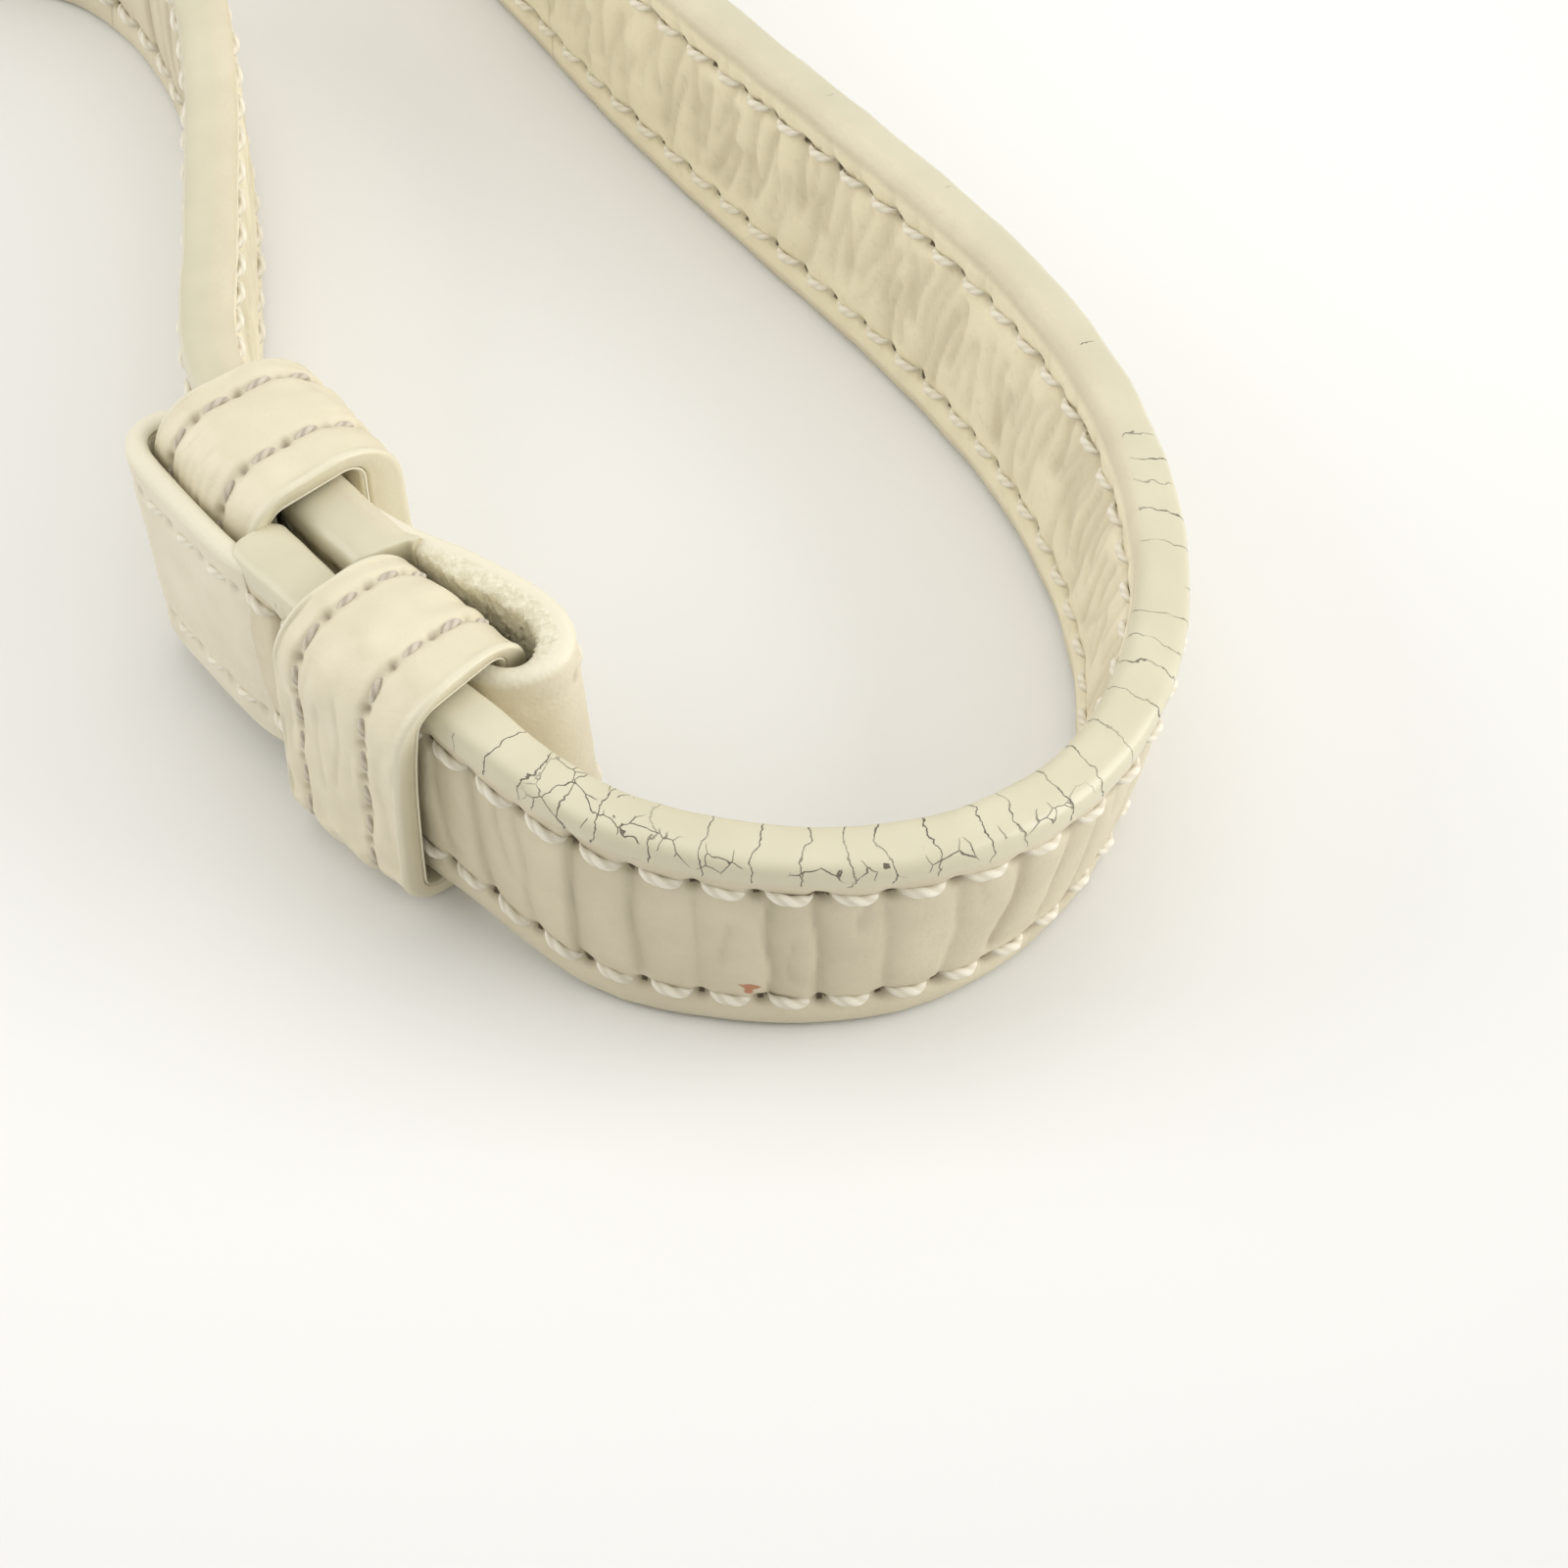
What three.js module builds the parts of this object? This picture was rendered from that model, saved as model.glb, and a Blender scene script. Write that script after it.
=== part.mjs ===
// Adjustable padded leather strap, standing on its long edge as a closed ring.
// The two ends of the strap lie side by side and slide on one another: each end is thinned
// to a tail that turns back in a U and is sewn into a keeper, and the keeper is a sleeve
// round the other end. Millimetres, +Z up, the floor at z = 0.
import * as THREE from "three";

// ---- strap ----
const STRAP_WIDTH = 22; // height of the strap as it stands
const STRAP_THICK = 5.2;
const LEATHER = 1.2; // each face
const GAP = 0.3; // clearance between neighbouring pieces
const EDGE_COAT = 0.7; // painted bead along each long edge
const STITCH_OFF = 7.2; // stitch rows above and below the middle
const GROOVE_HALF = 0.8; // half width and depth of a stitch groove
// ---- tails ----
const TAIL_THICK = 1.9;
const TAIL_LINING = 0.6;
const TAIL_WEB = 0.2; // leather left under a tail's stitch groove
const TAIL_INSET = 0.4; // a tail's long edges lie this far inside the strap's
const TAIL_CLEAR = 0.4; // between a tail and the keeper that it passes
// ---- keepers ----
const KEEPER_LENGTH = 13; // along the strap
const KEEPER_FACE = 1.4; // outer leather on the two faces
const KEEPER_RIM = 1.1; // outer leather above and below
const KEEPER_LINING = 0.9;
const KEEPER_RIM_LINING = 0.8;
const KEEPER_ROUND = 3.8;
const KEEPER_STITCH = 3.7; // stitch rows either side of the keeper's middle
const LOWER_KEEPER_MID = 24.1; // positions along the sliding arc
const UPPER_KEEPER_MID = 2.1;
const LOWER_KEEPER_SKEW = 0.12; // leans along the strap by this much per mm of height
// ---- sliding arc: both strands follow circles about one upright axis ----
const ARC_R = 167;
const ARC_HEADING = -55.2; // degrees at position 0
const ARC_LEAN = 6.3; // top leans outward, degrees
const ARC_LIFT = 3.03; // strap held up by the keepers' lower walls
const STRAND_OFF = STRAP_THICK / 2 + 1.0; // each strand's middle from the arc
const ARC_CENTRE = [167.27, 7.46]; // the axis, with the ring centred on the origin
// ---- route of the strap beyond the arc: [length mm, turn deg] ----
const ARC_END_B = 37;
const ROUTE_B = [
  [6.5, 9], [6.5, 12.5], [6.5, 10.5], [6.5, 10.5], [6.5, 14.5], [6.5, 17.5], [6.5, 15.7], [6.5, 13], [6.5, 11.5],
  [13, 17.5], [13, 12.3], [13, 10.2], [13, 8.4], [13, 4.7], [13, 1.5], [13, -1.2], [13, -1.4], [13, -4],
];
const ARC_END_A = -4.4;
const ROUTE_A = [
  [5, -15], [5, -9], [6, -3.5], [8, -1], [8, -0.5], [10, 0.3], [10, 3], [10, 6], [10, 7], [10, 10.5], [8, 16], [8, 24],
];
const FAR_R = 50; // radius of the far bight
const LEAN_B = [[45, ARC_LEAN], [58, 9.5], [84, 15.5], [110, 10], [136, 6], [162, 1], [188, -1], [214, -3], [260, 0]];
const LEAN_A = [[4, ARC_LEAN], [30, 4.5], [90, 4.5], [130, 0]];
// ---- how the ring is shared between the two bodies ----
const FLEX_NEAR = 2.4; // the bending length starts this far above the upper keeper
const FLEX_LENGTH = 84;

const rad = THREE.MathUtils.degToRad;
const smooth = (x) => THREE.MathUtils.smoothstep(x, 0, 1);
const along = (table, x) => {
  if (x <= table[0][0]) return table[0][1];
  for (let i = 1; i < table.length; i++)
    if (x <= table[i][0])
      return THREE.MathUtils.lerp(table[i - 1][1], table[i][1], (x - table[i - 1][0]) / (table[i][0] - table[i - 1][0]));
  return table.at(-1)[1];
};
const H = STRAP_WIDTH / 2;
const T = STRAP_THICK / 2;

// A station of a sweep: origin o in the strap's mid-plane at mid-height, a out of the outer
// face, b up the width, t along the strap.
function station(x, y, headingDeg, leanDeg, lift) {
  const h = rad(headingDeg), l = rad(leanDeg);
  const z = H * Math.cos(l) + (T - 0.9) * Math.abs(Math.sin(l)) + lift;
  const nx = Math.sin(h), ny = -Math.cos(h);
  return {
    o: new THREE.Vector3(x, y, z),
    a: new THREE.Vector3(nx * Math.cos(l), ny * Math.cos(l), -Math.sin(l)),
    b: new THREE.Vector3(nx * Math.sin(l), ny * Math.sin(l), Math.cos(l)),
    t: new THREE.Vector3(Math.cos(h), Math.sin(h), 0),
    heading: headingDeg,
  };
}
// On the sliding arc, s mm along it, with the strap's middle v mm outside it.
function arc(s, v) {
  const ph = rad(ARC_HEADING - 90) + s / ARC_R;
  const st = station(
    ARC_CENTRE[0] + ARC_R * Math.cos(ph), ARC_CENTRE[1] + ARC_R * Math.sin(ph),
    ARC_HEADING + THREE.MathUtils.radToDeg(s / ARC_R), ARC_LEAN, ARC_LIFT,
  );
  st.o.addScaledVector(st.a, v);
  return st;
}
// Points every few mm along a chain of arcs.
function chain(start, headingDeg, route, steps) {
  const out = [];
  let x = start.x, y = start.y, h = headingDeg, len = 0;
  for (const [length, turn] of route) {
    const n = steps(length, turn);
    for (let k = 0; k < n; k++) {
      const d = length / n, dh = turn / n, chord = dh ? (d * Math.sin(rad(dh / 2))) / rad(dh / 2) : d;
      x += chord * Math.cos(rad(h + dh / 2));
      y += chord * Math.sin(rad(h + dh / 2));
      h += dh;
      len += d;
      out.push({ x, y, h, len });
    }
  }
  return out;
}
const fewSteps = (length, turn) => Math.max(1, Math.ceil(Math.abs(turn) / 14), Math.ceil(length / 16));

// The whole ring as stations, in the direction from the strap's lower end to its upper end.
function ring() {
  const b0 = arc(ARC_END_B, STRAND_OFF), a0 = arc(ARC_END_A, -STRAND_OFF);
  const partB = chain(b0.o, b0.heading, ROUTE_B, fewSteps);
  const partA = chain(a0.o, a0.heading + 180, ROUTE_A, fewSteps);
  const b1 = partB.at(-1), a1 = partA.at(-1);
  // Far bight: straight, one arc, straight, with both straights solved so that the ring closes.
  const h0 = b1.h, h1 = a1.h + 180;
  const dx = a1.x - b1.x - FAR_R * (Math.sin(rad(h1)) - Math.sin(rad(h0)));
  const dy = a1.y - b1.y + FAR_R * (Math.cos(rad(h1)) - Math.cos(rad(h0)));
  const det = Math.sin(rad(h1 - h0));
  const straight1 = (dx * Math.sin(rad(h1)) - dy * Math.cos(rad(h1))) / det;
  const straight2 = (dy * Math.cos(rad(h0)) - dx * Math.sin(rad(h0))) / det;
  const far = chain(b1, h0, [[straight1, 0], [rad(h1 - h0) * FAR_R, h1 - h0], [straight2, 0]], (length, turn) =>
    Math.max(Math.ceil(length / 22), Math.ceil(Math.abs(turn) / 16)));
  const liftB = (s) => ARC_LIFT * (1 - smooth((s - 33.5) / 14.5));
  const liftA = (d) => ARC_LIFT * (1 - smooth((d - 4) / 26));
  const stations = [];
  for (const p of partB) {
    const s = ARC_END_B + p.len;
    stations.push({ ...station(p.x, p.y, p.h, along(LEAN_B, s), liftB(s)), len: p.len });
  }
  const lengthB = b1.len, lengthFar = far.at(-1).len, lengthA = a1.len;
  for (const p of far.slice(0, -1)) {
    const lean = along(LEAN_B, ARC_END_B + lengthB + p.len) + along(LEAN_A, lengthA + lengthFar - p.len);
    stations.push({ ...station(p.x, p.y, p.h, lean, 0), len: lengthB + p.len });
  }
  for (const p of [...partA].reverse())
    stations.push({ ...station(p.x, p.y, p.h - 180 + 360, along(LEAN_A, p.len), liftA(p.len)), len: lengthB + lengthFar + lengthA - p.len });
  return { stations, length: lengthB + lengthFar + lengthA };
}
const between = (p, q, f) => {
  const r = {};
  for (const k of ["o", "a", "b", "t"]) r[k] = p[k].clone().lerp(q[k], f);
  for (const k of ["a", "b", "t"]) r[k].normalize();
  r.len = THREE.MathUtils.lerp(p.len, q.len, f);
  return r;
};
// The stations from one length to another, cut exactly at both ends.
function stretch(stations, from, to) {
  const out = [];
  for (let i = 0; i < stations.length; i++) {
    const p = stations[i], q = stations[i + 1];
    if (p.len > from + 0.8 && p.len < to - 0.8) out.push(p);
    if (!q) continue;
    if (p.len <= from && q.len > from) out.push(between(p, q, (from - p.len) / (q.len - p.len)));
    if (p.len < to && q.len >= to) out.push(between(p, q, (to - p.len) / (q.len - p.len)));
  }
  return out.sort((m, n) => m.len - n.len);
}

// ---- meshes ----
const part = new THREE.Group();
const material = (name, color, roughness) => Object.assign(new THREE.MeshStandardMaterial({ color, roughness, metalness: 0 }), { name });
const FACE = material("leather_face", 0xdedacb, 0.5);
const INNER = material("leather_inner", 0xd9d2bd, 0.55);
const COAT = material("edge_coat", 0xe6e2c8, 0.42);
const CORE = material("filler", 0xcfc6ae, 0.85);
const THREAD = material("thread", 0xe4dfd2, 0.7);
const KEEPER = material("keeper_leather", 0xe2dccb, 0.42);
const KEEPER_THREAD = material("keeper_thread", 0xc9bfb2, 0.75);

function addMesh(name, rings, closed, mat) {
  // rings: loops of points with equal counts; closed: the last loop joins the first
  const pos = [];
  const tri = (p, q, r) => pos.push(...p, ...q, ...r);
  const n = rings[0].length, m = rings.length;
  for (let i = 0; i < (closed ? m : m - 1); i++) {
    const A = rings[i], B = rings[(i + 1) % m];
    for (let j = 0; j < n; j++) {
      const k = (j + 1) % n;
      if (A[j][2] < A[k][2]) tri(A[j], A[k], B[k]), tri(A[j], B[k], B[j]);
      else tri(A[j], A[k], B[j]), tri(A[k], B[k], B[j]);
    }
  }
  return { name, pos, tri, rings, mat };
}
function finish(name, pos, mat) {
  let volume = 0;
  for (let i = 0; i < pos.length; i += 9) {
    const [ax, ay, az, bx, by, bz, cx, cy, cz] = pos.slice(i, i + 9);
    volume += ax * (by * cz - bz * cy) + ay * (bz * cx - bx * cz) + az * (bx * cy - by * cx);
  }
  if (volume < 0)
    for (let i = 0; i < pos.length; i += 9)
      for (let c = 0; c < 3; c++) [pos[i + 3 + c], pos[i + 6 + c]] = [pos[i + 6 + c], pos[i + 3 + c]];
  const geometry = new THREE.BufferGeometry();
  geometry.setAttribute("position", new THREE.Float32BufferAttribute(pos, 3));
  geometry.computeVertexNormals();
  const mesh = new THREE.Mesh(geometry, mat);
  mesh.name = name;
  part.add(mesh);
}
const at = (st, n, w) => st.o.clone().addScaledVector(st.a, n).addScaledVector(st.b, w).toArray();
// A solid of one section [n, w] swept along stations.
function sweep(name, stations, section, mat) {
  const rings = stations.map((st) => section.map(([n, w]) => at(st, n, w)));
  const { pos } = addMesh(name, rings, false, mat);
  const faces = THREE.ShapeUtils.triangulateShape(section.map(([n, w]) => new THREE.Vector2(n, w)), []);
  const signed = THREE.ShapeUtils.area(section.map(([n, w]) => new THREE.Vector2(n, w)));
  for (const [i, j, k] of faces) {
    const a = new THREE.Vector2(...section[i]), b = new THREE.Vector2(...section[j]), c = new THREE.Vector2(...section[k]);
    const up = (b.x - a.x) * (c.y - a.y) - (b.y - a.y) * (c.x - a.x) > 0 === signed > 0;
    const [p, q, r] = up ? [i, j, k] : [i, k, j];
    pos.push(...rings[0][p], ...rings[0][r], ...rings[0][q]);
    pos.push(...rings.at(-1)[p], ...rings.at(-1)[q], ...rings.at(-1)[r]);
  }
  finish(name, pos, mat);
}
// A tube between an outer and an inner loop, the loops given per row.
function sleeve(name, outer, inner, mat) {
  const rings = [...outer, ...[...inner].reverse()];
  const { pos } = addMesh(name, rings, true, mat);
  finish(name, pos, mat);
}

// ---- sections ----
const SKIN = H - EDGE_COAT - GAP; // leathers and filler stop here, the coat caps them
function faceSection(side, outside, thick, half, g = GROOVE_HALF) {
  const inside = outside - thick;
  const pts = [[inside, -half], [inside, half], [outside, half]];
  for (const w of [STITCH_OFF, -STITCH_OFF]) pts.push([outside, w + g], [outside - g, w], [outside, w - g]);
  pts.push([outside, -half]);
  return pts.map(([n, w]) => [n * side, w]);
}
const threadDeep = (groove) => groove - GAP * Math.SQRT2;
function threadSection(side, outside, w, groove = GROOVE_HALF) {
  const d = threadDeep(groove);
  return [[outside, w - d], [outside, w + d], [outside - d, w]].map(([n, q]) => [n * side, q]);
}
const coreSection = [[-(T - LEATHER - GAP), -SKIN], [T - LEATHER - GAP, -SKIN], [T - LEATHER - GAP, SKIN], [-(T - LEATHER - GAP), SKIN]];
const coatSection = (up) =>
  [[-T, H - EDGE_COAT], [T, H - EDGE_COAT], [T - 0.2, H - 0.3], [T - 0.9, H], [-(T - 0.9), H], [-(T - 0.2), H - 0.3]].map(([n, w]) => [n, w * up]);

function strapPieces(suffix, stations) {
  sweep(`outer_leather_${suffix}`, stations, faceSection(1, T, LEATHER, SKIN), FACE);
  sweep(`inner_leather_${suffix}`, stations, faceSection(-1, T, LEATHER, SKIN), INNER);
  sweep(`filler_${suffix}`, stations, coreSection, CORE);
  sweep(`top_edge_coat_${suffix}`, stations, coatSection(1), COAT);
  sweep(`bottom_edge_coat_${suffix}`, stations, coatSection(-1), COAT);
  for (const [row, w] of [["upper", STITCH_OFF], ["lower", -STITCH_OFF]]) {
    sweep(`outer_thread_${row}_${suffix}`, stations, threadSection(1, T, w), THREAD);
    sweep(`inner_thread_${row}_${suffix}`, stations, threadSection(-1, T, w), THREAD);
  }
}

// ---- tails: a path [s, v] on the sliding arc, turned through a U ----
function tailStations(path) {
  const curve = new THREE.CatmullRomCurve3(path.map(([s, v]) => new THREE.Vector3(s, v, 0)), false, "centripetal");
  const n = Math.round(curve.getLength() / 2.2);
  const out = [];
  for (let i = 0; i <= n; i++) {
    const p = curve.getPointAt(i / n), d = curve.getTangentAt(i / n);
    const st = arc(p.x, p.y);
    // thickness axis: the path's left-hand normal in the (t, a) plane
    const a = st.t.clone().multiplyScalar(-d.y).addScaledVector(st.a, d.x);
    out.push({ ...st, a });
  }
  return out;
}
function tailPieces(suffix, path, side, threadFrom, threadTo) {
  const stations = tailStations(path);
  const half = TAIL_THICK / 2, w = H - TAIL_INSET;
  const leather = TAIL_THICK - TAIL_LINING - GAP, groove = leather - TAIL_WEB;
  sweep(`tail_leather_${suffix}`, stations, faceSection(side, half, leather, w, groove), FACE);
  sweep(`tail_lining_${suffix}`, stations,
    [[-half, -w], [-half + TAIL_LINING, -w], [-half + TAIL_LINING, w], [-half, w]].map(([n, q]) => [n * side, q]), INNER);
  const run = stations.slice(threadFrom, threadTo);
  for (const [row, q] of [["upper", STITCH_OFF], ["lower", -STITCH_OFF]])
    sweep(`tail_thread_${row}_${suffix}`, run, threadSection(side, half, q, groove), THREAD);
}

// ---- keepers ----
function roundedLoop(v0, v1, w0, w1, r) {
  const pts = [];
  const corners = [[v1 - r, w1 - r, 0], [v0 + r, w1 - r, 90], [v0 + r, w0 + r, 180], [v1 - r, w0 + r, 270]];
  for (const [cv, cw, a] of corners)
    for (let k = 0; k <= 4; k++) pts.push([cv + r * Math.cos(rad(a + k * 22.5)), cw + r * Math.sin(rad(a + k * 22.5))]);
  return pts;
}
function keeper(name, mid, skew, low, high) {
  // low, high: the opening's two faces across the strands; openingHalf: half its height
  const openingHalf = H + GAP;
  const lining = KEEPER_LINING, rimLining = KEEPER_RIM_LINING;
  const loop = (out, rim, r) => roundedLoop(low - out, high + out, -openingHalf - rim, openingHalf + rim, r);
  const inner = loop(0, 0, 0.8);
  const liningOut = loop(lining, rimLining, 1.6);
  const leatherIn = loop(lining + GAP, rimLining + GAP, 1.9);
  const skin = (sink) => loop(lining + GAP + KEEPER_FACE - sink, rimLining + GAP + KEEPER_RIM - sink, KEEPER_ROUND - sink);
  const row = (s, pts) => pts.map(([v, w]) => at(arc(s + skew * w, 0), v, w));
  const s0 = mid - KEEPER_LENGTH / 2, s1 = mid + KEEPER_LENGTH / 2;
  const g = GROOVE_HALF, lines = [mid - KEEPER_STITCH, mid + KEEPER_STITCH];
  const outer = [row(s0, skin(0))];
  for (const s of lines) outer.push(row(s - g, skin(0)), row(s, skin(g)), row(s + g, skin(0)));
  outer.push(row(s1, skin(0)));
  const stops = [s0, mid, s1];
  sleeve(`${name}_leather`, outer, stops.map((s) => row(s, leatherIn)), KEEPER);
  sleeve(`${name}_lining`, stops.map((s) => row(s, liningOut)), stops.map((s) => row(s, inner)), INNER);
  lines.forEach((s, i) => {
    const d = threadDeep(GROOVE_HALF);
    const rings = [row(s - d, skin(0)), row(s + d, skin(0)), row(s, skin(d))];
    const { pos } = addMesh("", rings, true, KEEPER_THREAD);
    finish(`${name}_thread_${i ? "right" : "left"}`, pos, KEEPER_THREAD);
  });
}

// ---- assembly ----
const FACE_V = STRAND_OFF + T; // outermost face of the stack between the keepers
const BACK_V = GAP + TAIL_THICK / 2 - (STRAND_OFF - T); // a tail's return leg, against the other strand
const keeperFace = BACK_V + TAIL_THICK / 2 + GAP + KEEPER_LINING + GAP + KEEPER_FACE; // outside of a keeper, on its tail's side
const LEG_V = keeperFace + TAIL_CLEAR + TAIL_THICK / 2; // a tail's main leg
const upperEnd = UPPER_KEEPER_MID + KEEPER_LENGTH / 2;
const lowerStart = LOWER_KEEPER_MID - KEEPER_LENGTH / 2 - LOWER_KEEPER_SKEW * (H + 3);
const lowerEnd = LOWER_KEEPER_MID + KEEPER_LENGTH / 2;

const whole = ring();
const arcRun = (s0, s1, v, step) => {
  const n = Math.ceil((s1 - s0) / step), out = [];
  for (let i = 0; i <= n; i++) out.push(arc(s0 + ((s1 - s0) * i) / n, v));
  return out;
};
// Lower strand and the whole far side of the ring, up to the bending length.
const flexTo = whole.length - FLEX_NEAR, flexFrom = flexTo - FLEX_LENGTH;
strapPieces("main", [
  ...arcRun(upperEnd + GAP, ARC_END_B, STRAND_OFF, 6.5),
  ...stretch(whole.stations, 0, flexFrom - GAP),
]);
strapPieces("flex", stretch(whole.stations, flexFrom, flexTo));
const shortEnd = stretch(whole.stations, flexTo + GAP, whole.length - 0.9);
strapPieces("sliding", [...shortEnd, ...arcRun(ARC_END_A, lowerStart - GAP, -STRAND_OFF, 6.5)]);

// Tail of the lower strand: over the outside of the upper keeper, round, and back into it.
const uB = UPPER_KEEPER_MID - KEEPER_LENGTH / 2 - 0.2;
tailPieces("main", [
  [upperEnd, LEG_V], [uB + 8, LEG_V], [uB + 4, LEG_V], [uB, LEG_V],
  ...arcPoints(uB, LEG_V, BACK_V, -1),
  [uB, BACK_V], [uB + 4, BACK_V], [uB + 8, BACK_V], [upperEnd - 1, BACK_V],
], -1, 0, 7);
// Tail of the sliding strand: behind the lower keeper, out to a round bight, and back into it.
tailPieces("sliding", [
  [lowerStart, -LEG_V], [lowerStart + 3, -LEG_V - 0.2], [lowerStart + 6, -LEG_V - 0.9],
  [lowerEnd - 4.6, -LEG_V - 1.85], [lowerEnd - 1.1, -LEG_V - 2.5], [lowerEnd + 1.8, -LEG_V - 2.05], [lowerEnd + 4, -LEG_V - 0.55],
  [lowerEnd + 4.7, -LEG_V + 1.05], [lowerEnd + 4.3, -BACK_V - 2.25], [lowerEnd + 3.3, -BACK_V - 0.85], [lowerEnd + 1.9, -BACK_V],
  [lowerEnd - 0.6, -BACK_V], [lowerEnd - 4.6, -BACK_V], [lowerEnd - 8.6, -BACK_V], [lowerEnd - 11.1, -BACK_V],
], -1, 0, 12);

keeper("upper_keeper", UPPER_KEEPER_MID, 0, -FACE_V - GAP, BACK_V + TAIL_THICK / 2 + GAP);
keeper("lower_keeper", LOWER_KEEPER_MID, LOWER_KEEPER_SKEW, -BACK_V - TAIL_THICK / 2 - GAP, FACE_V + GAP);

// Points of a half circle from v0 to v1, bulging along s by dir.
function arcPoints(s, v0, v1, dir) {
  const r = (v0 - v1) / 2, c = (v0 + v1) / 2;
  return [45, 90, 135].map((d) => [s + dir * r * Math.sin(rad(d)), c + r * Math.cos(rad(d))]);
}

export default part;
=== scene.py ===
import math
import bpy
import numpy as np
from mathutils import Matrix


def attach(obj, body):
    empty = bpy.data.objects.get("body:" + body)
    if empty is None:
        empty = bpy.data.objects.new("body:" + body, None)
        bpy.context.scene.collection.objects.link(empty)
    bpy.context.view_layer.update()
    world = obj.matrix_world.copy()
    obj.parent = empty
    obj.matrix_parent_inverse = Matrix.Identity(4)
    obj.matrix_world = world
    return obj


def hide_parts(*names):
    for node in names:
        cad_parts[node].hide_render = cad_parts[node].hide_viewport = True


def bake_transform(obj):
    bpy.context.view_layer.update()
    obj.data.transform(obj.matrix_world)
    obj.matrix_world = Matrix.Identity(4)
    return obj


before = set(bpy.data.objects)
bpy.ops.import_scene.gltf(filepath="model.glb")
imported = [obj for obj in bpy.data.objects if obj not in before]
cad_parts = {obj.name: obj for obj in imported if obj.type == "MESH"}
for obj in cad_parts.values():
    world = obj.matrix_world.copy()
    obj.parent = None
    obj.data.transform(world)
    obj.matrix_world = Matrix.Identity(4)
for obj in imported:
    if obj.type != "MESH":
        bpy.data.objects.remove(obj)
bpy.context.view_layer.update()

MM = 0.001

# ---------------------------------------------------------------- sizes, mm
STRAP_WIDTH, STRAP_THICK = 22.0, 5.2
H, T = STRAP_WIDTH / 2, STRAP_THICK / 2
STITCH_OFF, STITCH_PITCH = 7.2, 4.5
ARC_CENTRE, ARC_R, ARC_HEADING, ARC_LEAN, ARC_LIFT = (167.27, 7.46), 167.0, -55.2, 6.3, 3.03
STRAND_OFF = T + 1.0
KEEPER_LENGTH, KEEPER_STITCH, KEEPER_ROUND = 13.0, 3.7, 5.2
UPPER_MID, LOWER_MID, LOWER_SKEW = 2.1, 24.1, 0.12
UPPER_END = UPPER_MID + KEEPER_LENGTH / 2
LOWER_START = LOWER_MID - KEEPER_LENGTH / 2 - LOWER_SKEW * (H + 3)
# the strap's plan, as arcs of (length, turn in degrees), going away from the adjuster on each side
ROUTE_B = [(6.5, 9), (6.5, 12.5), (6.5, 10.5), (6.5, 10.5), (6.5, 14.5), (6.5, 17.5), (6.5, 15.7), (6.5, 13),
           (6.5, 11.5), (13, 17.5), (13, 12.3), (13, 10.2), (13, 8.4), (13, 4.7), (13, 1.5), (13, -1.2),
           (13, -1.4), (13, -4)]
ROUTE_A = [(5, -15), (5, -9), (6, -3.5), (8, -1), (8, -0.5), (10, 0.3), (10, 3), (10, 6), (10, 7), (10, 10.5),
           (8, 16), (8, 24)]
ARC_END_B, ARC_END_A, FAR_R = 37.0, -4.4, 50.0
# the lean, in degrees at a distance along the strap
LEAN_B = [(45, 6.3), (58, 9.5), (84, 15.5), (110, 10), (136, 6), (162, 1), (188, -1), (214, -3), (260, 0)]
LEAN_A = [(4, 6.3), (24, 2.5), (90, 1.0), (130, 0)]
FLEX_NEAR, FLEX_LENGTH = 2.4, 84.0
FAR_FROM = 205.0  # the strap beyond this is a piece of its own
RUN_ON = 3.4  # the sliding strand runs on this far beside the lower keeper's slanting rim


def ease(x):
    """3x^2 - 2x^3 between 0 and 1."""
    x = np.clip(x, 0, 1)
    return x * x * (3 - 2 * x)


def blurred(values, sigma):
    """A row of values averaged with a bell curve sigma samples wide; the ends run on in a straight line."""
    n = int(3 * sigma)
    k = np.exp(-0.5 * (np.arange(-n, n + 1) / sigma) ** 2)
    head = values[0] - (values[1] - values[0]) * np.arange(n, 0, -1)
    tail = values[-1] + (values[-1] - values[-2]) * np.arange(1, n + 1)
    return np.convolve(np.concatenate([head, values, tail]), k / k.sum(), mode="valid")


def axes_of(heading, lean):
    """Unit vectors a (out of the outer face), b (up the width) and t (along) for headings and leans in
    degrees."""
    h, l = np.radians(heading), np.radians(lean)
    nx, ny, cl, sl = np.sin(h), -np.cos(h), np.cos(l), np.sin(l)
    a = np.stack([nx * cl, ny * cl, -sl], -1)
    b = np.stack([nx * sl, ny * sl, cl], -1)
    return a, b, np.stack([np.cos(h), np.sin(h), 0 * h], -1)


def on_arc(s, v=0.0):
    """Frame s mm along the sliding arc, v mm outside it: centre + R(cos p, sin p), with p = heading -
    90."""
    s, v = np.broadcast_arrays(np.asarray(s, float), np.asarray(v, float))
    p = np.radians(ARC_HEADING - 90) + s / ARC_R
    a, b, t = axes_of(ARC_HEADING + np.degrees(s / ARC_R), np.full(s.shape, ARC_LEAN))
    z = H * math.cos(math.radians(ARC_LEAN)) + (T - 0.9) * math.sin(math.radians(ARC_LEAN)) + ARC_LIFT
    o = np.stack([ARC_CENTRE[0] + ARC_R * np.cos(p), ARC_CENTRE[1] + ARC_R * np.sin(p),
                  np.full(s.shape, z)], -1)
    return o + a * v[..., None], a, b, t


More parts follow.
